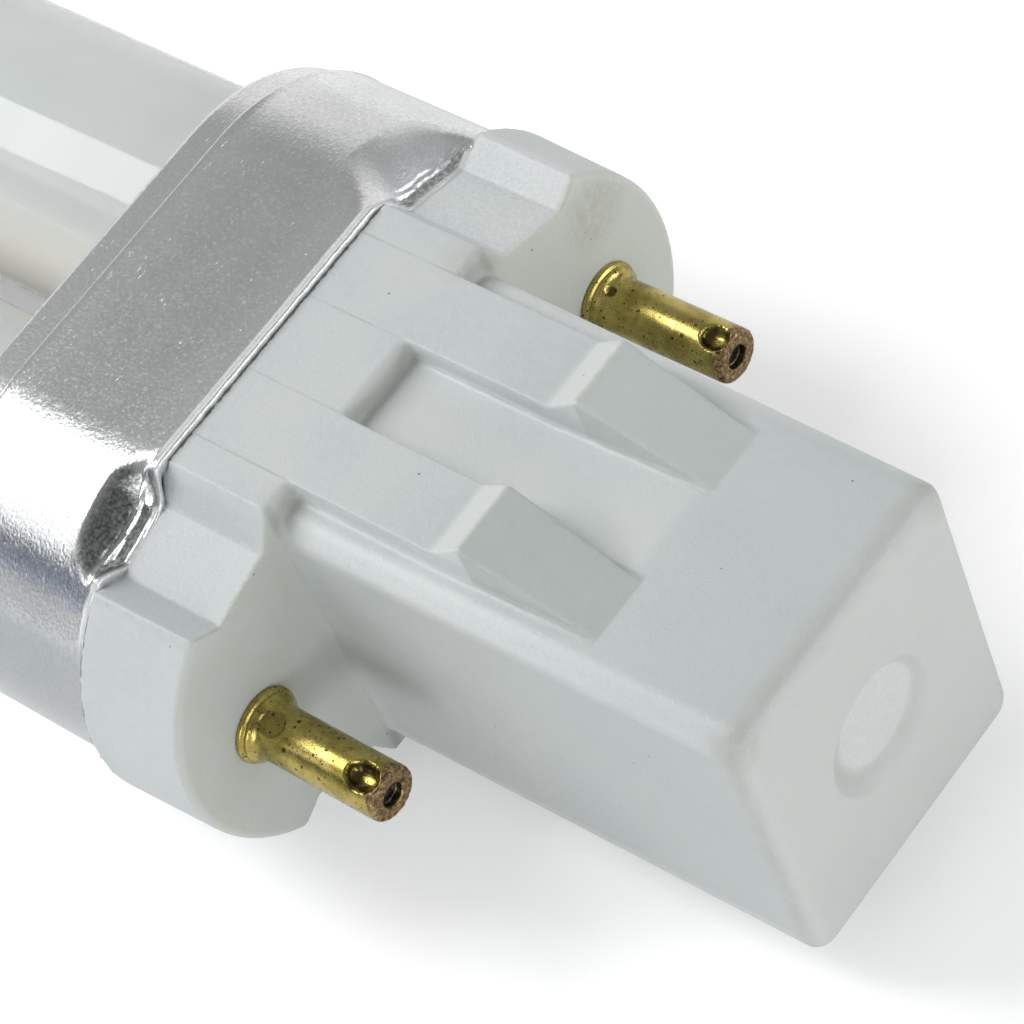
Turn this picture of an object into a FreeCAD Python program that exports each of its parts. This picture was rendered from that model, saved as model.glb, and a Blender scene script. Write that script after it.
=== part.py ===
import FreeCAD, Part
import math
import os
import Sketcher

# Two-pin twin-tube fluorescent lamp, lying on one of its wide sides.
# X runs along the lamp, out of its cap; Y goes across the two pins; Z is up.
# The origin is on the lamp's axis, in the plane of the pin face.

SIZES = (
    # Contact pins: hollow, flared at the pin face, clinched behind it.
    ("pin_spacing", "23", "distance between the two pins' axes"),
    ("pin_diameter", "2.4", "outside of a pin"),
    ("pin_bore", "1.1", "hole along a pin"),
    ("pin_length", "6.8", "reach of a pin beyond the pin face"),
    ("flange_diameter", "3.3", "ring round a pin, on the pin face"),
    ("flange_height", "0.32", "height of that ring"),
    ("flare_diameter", "3.1", "foot of the flare above that ring"),
    ("flare_height", "0.56", "height of that flare"),
    ("tip_radius", "0.15", "rounding of a pin's tip"),
    ("shank_diameter", "1.9", "outside of a pin inside the pin wall"),
    ("clinch_diameter", "2.9", "spread end of a pin behind the pin wall"),
    ("clinch_height", "0.6", "height of that spread end"),
    ("cross_hole", "1.3", "hole across a pin near its tip"),
    ("cross_hole_setback", "0.85", "from a pin's tip to that hole's axis"),
    ("dimple_diameter", "1.2", "round crimp mark above the flare"),
    ("dimple_depth", "0.16", "depth of that mark"),
    ("dimple_setback", "0.35", "from the flare to that mark's axis"),
    # Cap: head with the pin face, spigot inside the shell, boss between the pins.
    ("head_overhang", "0.65", "reach of the head's round ends beyond the shell"),
    ("head_draft", "0.2", "narrowing of each round end towards the pin face"),
    ("head_depth", "5.1", "head from the pin face to the shell's rim"),
    ("head_edge_radius", "0.3", "rounding of the pin face's outline"),
    ("spigot_depth", "5", "reach of the cap into the shell"),
    ("skirt_side_wall", "2.4", "wall of the spigot on its wide sides"),
    ("skirt_end_wall", "1.6", "wall of the spigot at its round ends"),
    ("pin_wall", "2.2", "wall that carries the pins"),
    ("boss_length", "21.85", "boss from the pin face to its end"),
    ("boss_root_width", "13.8", "boss across the pins, at the pin face"),
    ("boss_end_width", "13.15", "boss across the pins, at its end"),
    ("boss_thickness", "15.5", "boss between its two wide sides"),
    ("boss_wall", "1.3", "wall of the boss"),
    ("boss_edge_radius", "1", "rounding of the boss's long edges"),
    ("boss_end_radius", "0.7", "rounding round the boss's end"),
    ("mark_diameter", "5.9", "round mark in the boss's end, at its mouth"),
    ("mark_floor", "4.8", "the same mark at its floor"),
    ("mark_depth", "0.45", "depth of that mark"),
    # Guide rails on both wide sides of the boss, each ending in a snap lug.
    ("rail_span", "10.8", "over the outer sides of two rails"),
    ("channel_width", "3.9", "channel between two rails"),
    ("rail_length", "7.05", "rail from the pin face to its lug"),
    ("lug_rise", "1.2", "lug's crest above the rail"),
    ("lug_front", "1.65", "run of the lug's steep front"),
    ("lug_ramp", "5.85", "run of the lug's ramp"),
    ("lug_taper", "0.3", "narrowing of each side of the lug towards its foot"),
    ("lug_edge_radius", "0.25", "rounding of the lug's crest and front"),
    # Staking notches: four, on the shoulders of the head and the spigot.
    ("notch_offset", "9.45", "middle of a notch's floor, across the pins"),
    ("notch_height", "6.69", "the same point, from the middle plane"),
    ("notch_tilt", "15", "lean of the notch's floor, degrees"),
    ("notch_floor", "3.2", "width of the notch's floor"),
    ("notch_wall_angle", "45", "slope of its walls, degrees"),
    ("notch_reach", "3", "height of its walls"),
    # Shell: drawn aluminium cup, staked into the notches.
    ("shell_width", "30.7", "shell across the pins"),
    ("shell_thickness", "17.6", "shell and head between their two wide sides"),
    ("shell_height", "10.45", "shell from its rim to its top"),
    ("sheet", "0.35", "thickness of the sheet"),
    ("neck_height", "1.7", "height of the stepped neck at the top"),
    ("neck_step", "0.35", "step of that neck"),
    ("neck_radius", "0.5", "rounding of the shell's top edge"),
    ("rim_height", "0.5", "height of the flared rim"),
    ("rim_flare", "0.4", "reach of the flared rim"),
    ("rim_radius", "0.2", "rounding of the rim's edges"),
    ("dent_slope", "50", "lean of a staked dent from the lamp's axis, degrees"),
    # Discharge tube: one bent tube with a flat seal at each end.
    ("tube_diameter", "12", "outside of the tube"),
    ("tube_pitch", "13.8", "distance between the two legs' axes"),
    ("tube_length", "128.5", "from the shell's top to the tip of the bend"),
    ("tube_seat", "3", "reach of the round tube into the shell"),
    ("tube_shoulder", "2.4", "rounding of the tube's end at the seal"),
    ("seal_length", "6", "flat seal at a tube's end"),
    ("seal_width", "9", "seal across the lamp"),
    ("seal_thickness", "2.6", "seal between its flat sides"),
    # Inside the boss.
    ("starter_length", "13", "starter bottle"),
    ("starter_dome", "2.5", "rounding of the bottle's end"),
    ("stub_length", "2", "starter's own wires"),
    ("stub_spacing", "3", "between the starter's wires"),
    ("capacitor_length", "8", "capacitor along the lamp"),
    ("capacitor_width", "7", "capacitor across the lamp"),
    ("capacitor_thickness", "2.2", "capacitor's thickness"),
    ("capacitor_edge", "0.5", "rounding of the capacitor"),
    ("wire_diameter", "0.6", "every wire"),
    ("wire_spacing", "4.4", "between the two wires of one seal"),
    ("wire_bend", "0.9", "radius of the wires' bends"),
    # Clearances.
    ("slip_gap", "0.05", "between pieces that are pushed together"),
    ("loose_gap", "0.25", "round the pieces laid in the boss"),
)

# Places worked out from the sizes, as text for the sheet's expressions.
FLARE_TOP = "(sizes.flange_height + sizes.flare_height)"
SPIGOT_END = "(sizes.head_depth + sizes.spigot_depth)"
SPIGOT_WIDTH = "(sizes.shell_width - 2 * sizes.sheet - 2 * sizes.slip_gap)"
SPIGOT_THICKNESS = "(sizes.shell_thickness - 2 * sizes.sheet - 2 * sizes.slip_gap)"
SHELL_TOP = "(sizes.head_depth + sizes.shell_height)"
CAVITY_WIDTH = "(sizes.boss_end_width - 2 * sizes.boss_wall)"
CAVITY_THICKNESS = "(sizes.boss_thickness - 2 * sizes.boss_wall)"
CAVITY_END = "(sizes.boss_length - sizes.mark_depth - sizes.boss_wall)"
HEAD_WIDTH = "(sizes.shell_width + 2 * sizes.head_overhang)"
FACE_WIDTH = "(sizes.shell_width + 2 * sizes.head_overhang - 2 * sizes.head_draft)"
RAIL_TOP = "(sizes.shell_thickness / 2)"
LUG_CREST = "(sizes.rail_length + sizes.lug_front)"
LUG_FOOT = "(sizes.rail_length + sizes.lug_front + sizes.lug_ramp)"
TUBE_END = "(sizes.head_depth + sizes.shell_height - sizes.tube_seat)"
SEAL_END = "(sizes.head_depth + sizes.shell_height - sizes.tube_seat - sizes.seal_length)"
TUBE_TIP = "(sizes.head_depth + sizes.shell_height + sizes.tube_length)"
BEND_CENTRE = "(" + TUBE_TIP + " - sizes.tube_pitch / 2 - sizes.tube_diameter / 2)"
STARTER_END = "(" + CAVITY_END + " - sizes.loose_gap)"
STARTER_ROOM = CAVITY_THICKNESS + " - sizes.capacitor_thickness - 3 * sizes.loose_gap"
STARTER_DIAMETER = "min(" + CAVITY_WIDTH + " - 2 * sizes.loose_gap; " + STARTER_ROOM + ")"
STARTER_HEIGHT = "(" + CAVITY_THICKNESS + " / 2 - sizes.loose_gap - " + STARTER_DIAMETER + " / 2)"
CAPACITOR_FLOOR = "(sizes.loose_gap - " + CAVITY_THICKNESS + " / 2)"
STUB_END = "(" + STARTER_END + " - sizes.starter_length - sizes.stub_length)"
SIDES = (-1, 1)
CORNERS = [(side, face) for side in SIDES for face in SIDES]
HANDS = {-1: "right", 1: "left"}
# The share of a wire's run that a bend may take.
LONGEST_BEND = 0.45
# The shares of the room between seals and pins where the wires start to turn.
PIN_LEAD_TURN = "0.25"
STARTER_LEAD_TURN = "0.5"
# The share of a starter wire behind which the capacitor's wire joins it.
JOINT_SETBACK = "0.33"
# Lengths closer than this are the same, mm.
SAME_LENGTH = 0.001

doc = FreeCAD.newDocument("lamp")
sheet = doc.addObject("Spreadsheet::Sheet", "sizes")
for row, (alias, number, meaning) in enumerate(SIZES, start=1):
    sheet.set(f"A{row}", meaning)
    sheet.set(f"B{row}", number)
    sheet.setAlias(f"B{row}", alias)
doc.recompute()


def size(expression):
    """The number that an expression of the sheet's sizes comes to."""
    return float(sheet.evalExpression(expression))


def new_body(name):
    """An empty body whose label names its file."""
    body = doc.addObject("PartDesign::Body", name)
    body.Label = name
    return body


def new_sketch(body, name, role, out="0", across="0", up="0", turn="0"):
    """A sketch on one of the body's own planes, moved out of it, and in it, by sheet expressions."""
    sketch = body.newObject("Sketcher::SketchObject", name)
    plane = next(part for part in body.Origin.OriginFeatures if part.Role == role)
    sketch.AttachmentSupport = [(plane, "")]
    sketch.MapMode = "FlatFace"
    sketch.setExpression("AttachmentOffset.Base.x", across)
    sketch.setExpression("AttachmentOffset.Base.y", up)
    sketch.setExpression("AttachmentOffset.Base.z", out)
    sketch.setExpression("AttachmentOffset.Rotation.Angle", turn)
    return sketch


def hold(sketch, kind, item, point, expression):
    """Ties a point's distance from the sketch's origin to a sheet expression."""
    number = size(expression)
    if number == 0:
        axis = {"DistanceX": -2, "DistanceY": -1}[kind]
        sketch.addConstraint(Sketcher.Constraint("PointOnObject", item, point, axis))
        return
    index = sketch.addConstraint(Sketcher.Constraint(kind, item, point, number))
    sketch.setExpression(f"Constraints[{index}]", expression)


def measure(sketch, kind, item, expression):
    """Ties a radius or a diameter to a sheet expression."""
    index = sketch.addConstraint(Sketcher.Constraint(kind, item, size(expression)))
    sketch.setExpression(f"Constraints[{index}]", expression)


def draw_outline(sketch, corners):
    """A closed outline of straight lines, each corner a pair of sheet expressions."""
    points = [FreeCAD.Vector(size(x), size(y), 0) for x, y in corners]
    first = sketch.GeometryCount
    for start, end in zip(points, points[1:] + points[:1]):
        sketch.addGeometry(Part.LineSegment(start, end))
    for place, (x, y) in enumerate(corners):
        before = first + (place - 1) % len(corners)
        sketch.addConstraint(Sketcher.Constraint("Coincident", before, 2, first + place, 1))
        hold(sketch, "DistanceX", first + place, 1, x)
        hold(sketch, "DistanceY", first + place, 1, y)


def draw_box(sketch, width, height):
    """A rectangle round the sketch's origin."""
    right, top = f"{width} / 2", f"{height} / 2"
    left, bottom = f"-({width}) / 2", f"-({height}) / 2"
    draw_outline(sketch, [(left, bottom), (right, bottom), (right, top), (left, top)])


def draw_circle(sketch, x, y, diameter):
    """A circle at a pair of sheet expressions."""
    centre = FreeCAD.Vector(size(x), size(y), 0)
    ring = sketch.addGeometry(Part.Circle(centre, FreeCAD.Vector(0, 0, 1), size(diameter) / 2))
    hold(sketch, "DistanceX", ring, 3, x)
    hold(sketch, "DistanceY", ring, 3, y)
    measure(sketch, "Diameter", ring, diameter)


def draw_obround(sketch, width, thickness):
    """A slot with two round ends, round the sketch's origin and long along its first axis."""
    run = f"({width} - {thickness}) / 2"
    radius = size(thickness) / 2
    first = sketch.GeometryCount
    ends = [FreeCAD.Vector(side * size(run), 0, 0) for side in (1, -1)]
    rise = FreeCAD.Vector(0, radius, 0)
    sketch.addGeometry(Part.Arc(ends[0] - rise, ends[0] + FreeCAD.Vector(radius, 0, 0), ends[0] + rise))
    sketch.addGeometry(Part.LineSegment(ends[0] + rise, ends[1] + rise))
    sketch.addGeometry(Part.Arc(ends[1] + rise, ends[1] - FreeCAD.Vector(radius, 0, 0), ends[1] - rise))
    sketch.addGeometry(Part.LineSegment(ends[1] - rise, ends[0] - rise))
    for place in range(4):
        after = first + (place + 1) % 4
        sketch.addConstraint(Sketcher.Constraint("Tangent", first + place, 2, after, 1))
    sketch.addConstraint(Sketcher.Constraint("Equal", first, first + 2))
    for place, sign in ((0, ""), (2, "-")):
        hold(sketch, "DistanceX", first + place, 3, sign + run)
        hold(sketch, "DistanceY", first + place, 3, "0")
    measure(sketch, "Radius", first, f"{thickness} / 2")


def feature(body, kind, name, sketch, **settings):
    """A feature of the body made from a sketch; text settings are sheet expressions."""
    made = body.newObject("PartDesign::" + kind, name)
    made.Profile = sketch
    for setting, given in settings.items():
        if isinstance(given, str) and setting in ("Length", "TaperAngle"):
            made.setExpression(setting, given)
        else:
            setattr(made, setting, given)
    sketch.Visibility = False
    body.Tip = made
    doc.recompute()
    return made


def round_edges(body, name, radius, chosen):
    """Rounds those edges of the body's present shape that the given test picks."""
    base = body.Tip
    names = [f"Edge{place}" for place, edge in enumerate(base.Shape.Edges, start=1) if chosen(edge)]
    made = body.newObject("PartDesign::Fillet", name)
    made.Base = (base, names)
    made.setExpression("Radius", radius)
    body.Tip = made
    doc.recompute()
    return made


def near(first, second):
    """Whether two lengths are the same, for picking edges."""
    return abs(first - second) < SAME_LENGTH


def lies_at(edge, x):
    """Whether an edge lies in the plane across the lamp at x."""
    return near(edge.BoundBox.XMin, x) and near(edge.BoundBox.XMax, x)


def notch_turn(side, face):
    """The turn that points a notch's middle out of the given shoulder."""
    return f"{-side} * sizes.notch_tilt" if face > 0 else f"180 + {side} * sizes.notch_tilt"


def draw_notch(sketch, level):
    """A notch's outline, or the same outline raised evenly by a level, as a sheet laid in it has."""
    half = f"(sizes.notch_floor / 2 - ({level}) * tan(sizes.notch_wall_angle / 2))"
    mouth = f"({half} + sizes.notch_reach / tan(sizes.notch_wall_angle))"
    top = f"(({level}) + sizes.notch_reach)"
    draw_outline(sketch, [(f"-{half}", level), (half, level), (mouth, top), (f"-{mouth}", top)])


def notch_sketch(body, name, side, face, out, level):
    """A notch's outline on one shoulder, in a plane across the lamp."""
    sketch = new_sketch(
        body,
        name,
        "YZ_Plane",
        out=out,
        across=f"{side} * sizes.notch_offset",
        up=f"{face} * sizes.notch_height",
        turn=notch_turn(side, face),
    )
    draw_notch(sketch, level)
    return sketch


def add_boss(body):
    """The boss narrows a little towards its end; its long edges and its end are rounded."""
    root = new_sketch(body, "boss_root", "YZ_Plane")
    draw_box(root, "sizes.boss_root_width", "sizes.boss_thickness")
    tip = new_sketch(body, "boss_tip", "YZ_Plane", out="sizes.boss_length")
    draw_box(tip, "sizes.boss_end_width", "sizes.boss_thickness")
    feature(body, "AdditiveLoft", "boss", root, Sections=[tip], Ruled=True)
    tip.Visibility = False
    length = size("sizes.boss_length")
    round_edges(
        body,
        "boss_edges",
        "sizes.boss_edge_radius",
        lambda edge: near(edge.BoundBox.XLength, length),
    )
    round_edges(body, "boss_end", "sizes.boss_end_radius", lambda edge: lies_at(edge, length))


def add_rails(body):
    """Two rails on each wide side run from the head and end in a snap lug."""
    foot = "sizes.boss_thickness / 2"
    floor = "(sizes.boss_thickness / 2 - sizes.boss_wall)"
    side_view = [
        ("-sizes.head_depth", floor),
        ("-sizes.head_depth", RAIL_TOP),
        ("sizes.rail_length", RAIL_TOP),
        (LUG_CREST, f"({RAIL_TOP} + sizes.lug_rise)"),
        (LUG_FOOT, foot),
        (LUG_FOOT, floor),
    ]
    for side, face in CORNERS:
        name = f"rail_{HANDS[side]}_{'top' if face > 0 else 'bottom'}"
        sketch = new_sketch(body, name + "_profile", "XZ_Plane", out=f"{-side} * sizes.channel_width / 2")
        draw_outline(sketch, [(x, f"{face} * {z}") for x, z in side_view])
        width = "(sizes.rail_span - sizes.channel_width) / 2"
        feature(body, "Pad", name, sketch, Length=width, Reversed=side > 0)
    taper_lugs(body)


def taper_lugs(body):
    """The lugs narrow towards their feet; their crests and fronts are rounded."""
    foot = "sizes.boss_thickness / 2"
    inner = "sizes.channel_width / 2"
    outer = "sizes.rail_span / 2"
    clear = "sizes.boss_root_width / 2"
    narrow_inner = f"({inner} + sizes.lug_taper)"
    narrow_outer = f"({outer} - sizes.lug_taper)"
    start = "sizes.rail_length"
    for face in SIDES:
        name = f"lug_taper_{'top' if face > 0 else 'bottom'}"
        sketch = new_sketch(body, name + "_outline", "XY_Plane", out=f"{face} * {foot}")
        half = [(start, inner), (LUG_FOOT, narrow_inner)]
        draw_outline(sketch, half + [(x, "-" + y) for x, y in reversed(half)])
        beside = [(start, outer), (LUG_FOOT, narrow_outer), (LUG_FOOT, clear), (start, clear)]
        for sign in ("-", ""):
            draw_outline(sketch, [(x, sign + y) for x, y in beside])
        depth = f"{RAIL_TOP} + sizes.lug_rise - {foot}"
        feature(body, "Pocket", name, sketch, Length=depth, Reversed=face > 0)
    crest = size(LUG_CREST)
    front = size(start)
    top = size(RAIL_TOP)
    round_edges(
        body,
        "lug_edges",
        "sizes.lug_edge_radius",
        lambda edge: lies_at(edge, crest) or (lies_at(edge, front) and near(abs(edge.CenterOfMass.z), top)),
    )


def hollow_cap(body):
    """The cap is open towards the tube: one hollow in the spigot and head, one in the boss."""
    skirt = new_sketch(body, "skirt_hollow_outline", "YZ_Plane", out=f"-{SPIGOT_END}")
    width = f"({SPIGOT_WIDTH} - 2 * sizes.skirt_end_wall)"
    thickness = f"({SPIGOT_THICKNESS} - 2 * sizes.skirt_side_wall)"
    draw_obround(skirt, width, thickness)
    feature(body, "Pocket", "skirt_hollow", skirt, Length=f"{SPIGOT_END} - sizes.pin_wall", Reversed=True)
    room = new_sketch(body, "boss_hollow_outline", "YZ_Plane", out=f"-{SPIGOT_END}")
    draw_box(room, CAVITY_WIDTH, CAVITY_THICKNESS)
    feature(body, "Pocket", "boss_hollow", room, Length=f"{SPIGOT_END} + {CAVITY_END}", Reversed=True)
    for name, hole, start, depth in (
        ("pin_holes", "(sizes.shank_diameter + 2 * sizes.slip_gap)", "0", "sizes.pin_wall"),
        (
            "clinch_room",
            "(sizes.clinch_diameter + 2 * sizes.loose_gap)",
            "-sizes.pin_wall",
            f"{SPIGOT_END} - sizes.pin_wall",
        ),
    ):
        sketch = new_sketch(body, name + "_outline", "YZ_Plane", out=start)
        for side in SIDES:
            draw_circle(sketch, f"{side} * sizes.pin_spacing / 2", "0", hole)
        feature(body, "Pocket", name, sketch, Length=depth)


def build_cap():
    """The white moulding: head and spigot, boss with rails and lugs, staking notches, end mark."""
    body = new_body("plastic_cap")
    face = new_sketch(body, "pin_face_outline", "YZ_Plane")
    draw_obround(face, FACE_WIDTH, "sizes.shell_thickness")
    back = new_sketch(body, "head_back_outline", "YZ_Plane", out="-sizes.head_depth")
    draw_obround(back, HEAD_WIDTH, "sizes.shell_thickness")
    feature(body, "AdditiveLoft", "head", face, Sections=[back], Ruled=True)
    back.Visibility = False
    round_edges(body, "head_edge", "sizes.head_edge_radius", lambda edge: lies_at(edge, 0))
    spigot = new_sketch(body, "spigot_outline", "YZ_Plane", out="-sizes.head_depth")
    draw_obround(spigot, SPIGOT_WIDTH, SPIGOT_THICKNESS)
    feature(body, "Pad", "spigot", spigot, Length="sizes.spigot_depth", Reversed=True)
    add_boss(body)
    add_rails(body)
    for side, face in CORNERS:
        name = f"notch_{HANDS[side]}_{'top' if face > 0 else 'bottom'}"
        sketch = notch_sketch(body, name + "_outline", side, face, "0", "0")
        feature(body, "Pocket", name, sketch, Length=SPIGOT_END)
    mark = new_sketch(body, "end_mark_profile", "XY_Plane")
    floor = "(sizes.boss_length - sizes.mark_depth)"
    draw_outline(
        mark,
        [
            (floor, "0"),
            ("sizes.boss_length", "0"),
            ("sizes.boss_length", "sizes.mark_diameter / 2"),
            (floor, "sizes.mark_floor / 2"),
        ],
    )
    feature(body, "Groove", "end_mark", mark, ReferenceAxis=(mark, ["H_Axis"]), Angle=360)
    hollow_cap(body)
    return body


def stake(body, level):
    """Presses the four dents into a solid, leaning from the rim out to its side."""
    rise, run = (size(f"{ratio}(sizes.dent_slope)") for ratio in ("sin", "cos"))
    across, up = (size(f"{ratio}(sizes.notch_tilt)") for ratio in ("sin", "cos"))
    for side, face in CORNERS:
        name = f"dent_{HANDS[side]}_{'top' if face > 0 else 'bottom'}"
        sketch = notch_sketch(body, f"{body.Name}_{name}_outline", side, face, "-sizes.head_depth", level)
        feature(
            body,
            "Pocket",
            f"{body.Name}_{name}",
            sketch,
            UseCustomVector=True,
            Direction=FreeCAD.Vector(-run, side * across * rise, face * up * rise),
            AlongSketchNormal=False,
            Length="sizes.notch_reach",
        )


def cup(name, inset):
    """A stepped obround cup form, the shell's outside or, drawn in by the sheet, its inside."""
    body = new_body(name)
    band = new_sketch(body, name + "_band_outline", "YZ_Plane", out="-sizes.head_depth")
    draw_obround(band, f"(sizes.shell_width - 2 * {inset})", f"(sizes.shell_thickness - 2 * {inset})")
    ledge = f"(sizes.shell_height - sizes.neck_height - {inset})"
    feature(body, "Pad", name + "_band", band, Length=ledge, Reversed=True)
    neck = new_sketch(body, name + "_neck_outline", "YZ_Plane", out=f"-(sizes.head_depth + {ledge})")
    step = f"({inset} + sizes.neck_step)"
    draw_obround(neck, f"(sizes.shell_width - 2 * {step})", f"(sizes.shell_thickness - 2 * {step})")
    feature(body, "Pad", name + "_neck", neck, Length="sizes.neck_height", Reversed=True)
    top = -size(f"sizes.head_depth + {ledge} + sizes.neck_height")
    round_edges(body, name + "_top", f"sizes.neck_radius - {inset}", lambda edge: lies_at(edge, top))
    return body


def build_shell():
    """The drawn sheet cup: its outside less its inside, both staked, with two holes for the tube."""
    outside = cup("shell_outside", "0")
    flare = new_sketch(outside, "rim_outline", "YZ_Plane", out="-sizes.head_depth")
    flared = "2 * sizes.rim_flare"
    draw_obround(flare, f"(sizes.shell_width + {flared})", f"(sizes.shell_thickness + {flared})")
    feature(outside, "Pad", "rim", flare, Length="sizes.rim_height", Reversed=True)
    reach = size("sizes.shell_width / 2 + sizes.rim_flare")
    tall = size("sizes.shell_thickness / 2 + sizes.rim_flare")
    round_edges(
        outside,
        "rim_edges",
        "sizes.rim_radius",
        lambda edge: near(edge.BoundBox.YMax, reach) or near(edge.BoundBox.ZMax, tall),
    )
    stake(outside, "(sizes.slip_gap + sizes.sheet)")
    inside = cup("shell_inside", "sizes.sheet")
    holes = new_sketch(inside, "tube_holes_outline", "YZ_Plane", out=f"-{SPIGOT_END}")
    for side in SIDES:
        hole = "(sizes.tube_diameter + 2 * sizes.slip_gap)"
        draw_circle(holes, f"{side} * sizes.tube_pitch / 2", "0", hole)
    feature(inside, "Pad", "tube_holes", holes, Length="sizes.shell_height", Reversed=True)
    stake(inside, "sizes.slip_gap")
    shell = doc.addObject("Part::Cut", "aluminium_shell")
    shell.Base = outside
    shell.Tool = inside
    doc.recompute()
    return shell


def build_pin(side):
    """A hollow pin, turned about its own axis: spread end, shank, flare, plain length and crimp marks."""
    body = new_body(f"contact_pin_{HANDS[side]}")
    back = "-(sizes.pin_wall + sizes.clinch_height)"
    profile = new_sketch(body, body.Name + "_profile", "XZ_Plane")
    draw_outline(
        profile,
        [
            (back, "sizes.pin_bore / 2"),
            (back, "sizes.clinch_diameter / 2"),
            ("-sizes.pin_wall", "sizes.clinch_diameter / 2"),
            ("-sizes.pin_wall", "sizes.shank_diameter / 2"),
            ("0", "sizes.shank_diameter / 2"),
            ("0", "sizes.flange_diameter / 2"),
            ("sizes.flange_height", "sizes.flange_diameter / 2"),
            ("sizes.flange_height", "sizes.flare_diameter / 2"),
            (FLARE_TOP, "sizes.pin_diameter / 2"),
            ("sizes.pin_length", "sizes.pin_diameter / 2"),
            ("sizes.pin_length", "sizes.pin_bore / 2"),
        ],
    )
    axis = (profile, ["H_Axis"])
    feature(body, "Revolution", body.Name + "_turned", profile, ReferenceAxis=axis, Angle=360)
    tip = size("sizes.pin_length")
    radius = size("sizes.pin_diameter / 2")
    round_edges(
        body,
        body.Name + "_tip",
        "sizes.tip_radius",
        lambda edge: lies_at(edge, tip) and near(edge.BoundBox.ZMax, radius),
    )
    hole = new_sketch(body, body.Name + "_hole_outline", "XY_Plane")
    draw_circle(hole, "sizes.pin_length - sizes.cross_hole_setback", "0", "sizes.cross_hole")
    feature(body, "Pocket", body.Name + "_hole", hole, Length="sizes.pin_diameter", Reversed=True)
    floor = "sizes.pin_diameter / 2 - sizes.dimple_depth"
    dimple = new_sketch(body, body.Name + "_dimple_outline", "XY_Plane", out=floor)
    draw_circle(dimple, f"{FLARE_TOP} + sizes.dimple_setback", "0", "sizes.dimple_diameter")
    feature(body, "Pocket", body.Name + "_dimple", dimple, Length="sizes.pin_diameter", Reversed=True)
    body.setExpression("Placement.Base.y", f"{side} * sizes.pin_spacing / 2")
    return body


def build_tube():
    """The tube: two legs and a round bend in one sweep, ends rounded down to flat seals."""
    body = new_body("glass_tube")
    leg = "sizes.tube_pitch / 2"
    path = new_sketch(body, "tube_path", "XY_Plane")
    end, centre, half = size(f"-{TUBE_END}"), size(f"-{BEND_CENTRE}"), size(leg)
    first = path.addGeometry(Part.LineSegment(FreeCAD.Vector(end, half, 0), FreeCAD.Vector(centre, half, 0)))
    bend = path.addGeometry(
        Part.Arc(
            FreeCAD.Vector(centre, half, 0),
            FreeCAD.Vector(centre - half, 0, 0),
            FreeCAD.Vector(centre, -half, 0),
        )
    )
    last = path.addGeometry(Part.LineSegment(FreeCAD.Vector(centre, -half, 0), FreeCAD.Vector(end, -half, 0)))
    arc_start, arc_end = (1, 2) if path.Geometry[bend].StartPoint.y > 0 else (2, 1)
    path.addConstraint(Sketcher.Constraint("Tangent", first, 2, bend, arc_start))
    path.addConstraint(Sketcher.Constraint("Tangent", bend, arc_end, last, 1))
    hold(path, "DistanceX", bend, 3, f"-{BEND_CENTRE}")
    hold(path, "DistanceY", bend, 3, "0")
    for line, point, sign in ((first, 1, ""), (last, 2, "-")):
        hold(path, "DistanceX", line, point, f"-{TUBE_END}")
        hold(path, "DistanceY", line, point, sign + leg)
    section = new_sketch(body, "tube_section", "YZ_Plane", out=f"-{TUBE_END}")
    draw_circle(section, leg, "0", "sizes.tube_diameter")
    runs = [f"Edge{place}" for place in range(1, 4)]
    feature(body, "AdditivePipe", "tube", section, Spine=(path, runs))
    path.Visibility = False
    round_edges(body, "tube_ends", "sizes.tube_shoulder", lambda edge: lies_at(edge, end))
    root = f"({TUBE_END} + sizes.tube_shoulder)"
    for side in SIDES:
        name = f"seal_{HANDS[side]}"
        seal = new_sketch(body, name + "_outline", "YZ_Plane", out=f"-{root}", across=f"{side} * {leg}")
        draw_box(seal, "sizes.seal_width", "sizes.seal_thickness")
        feature(body, "Pad", name, seal, Length=f"{root} - {SEAL_END}")
    return body


def build_cement(tube):
    """Cement fills the shell between its top and the spigot, round the tube's ends."""
    body = new_body("cement_block")
    inset = "(sizes.neck_step + sizes.sheet + sizes.slip_gap)"
    block = new_sketch(body, "cement_outline", "YZ_Plane", out=f"-{SPIGOT_END}")
    draw_obround(block, f"(sizes.shell_width - 2 * {inset})", f"(sizes.shell_thickness - 2 * {inset})")
    depth = f"({SHELL_TOP} - sizes.sheet - {SPIGOT_END})"
    feature(body, "Pad", "cement", block, Length=depth, Reversed=True)
    top = -size(f"{SPIGOT_END} + {depth}")
    round_edges(body, "cement_top", "sizes.neck_radius - sizes.sheet", lambda edge: lies_at(edge, top))
    cement = doc.addObject("Part::Cut", "basing_cement")
    cement.Base = body
    cement.Tool = tube
    doc.recompute()
    return cement


def build_starter():
    """The starter bottle lies along the boss, with its own two wires towards the tube."""
    body = new_body("glow_starter")
    base = f"({STARTER_END} - sizes.starter_length)"
    profile = new_sketch(body, "starter_profile", "XZ_Plane")
    radius = f"{STARTER_DIAMETER} / 2"
    draw_outline(profile, [(base, "0"), (base, radius), (STARTER_END, radius), (STARTER_END, "0")])
    feature(body, "Revolution", "bottle", profile, ReferenceAxis=(profile, ["H_Axis"]), Angle=360)
    end = size(STARTER_END)
    round_edges(body, "bottle_dome", "sizes.starter_dome", lambda edge: lies_at(edge, end))
    stubs = new_sketch(body, "stub_outline", "YZ_Plane", out=base)
    for side in SIDES:
        draw_circle(stubs, f"{side} * sizes.stub_spacing / 2", f"-{STARTER_HEIGHT}", "sizes.wire_diameter")
    feature(body, "Pad", "stubs", stubs, Length="sizes.stub_length", Reversed=True)
    body.setExpression("Placement.Base.z", STARTER_HEIGHT)
    return body


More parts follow.
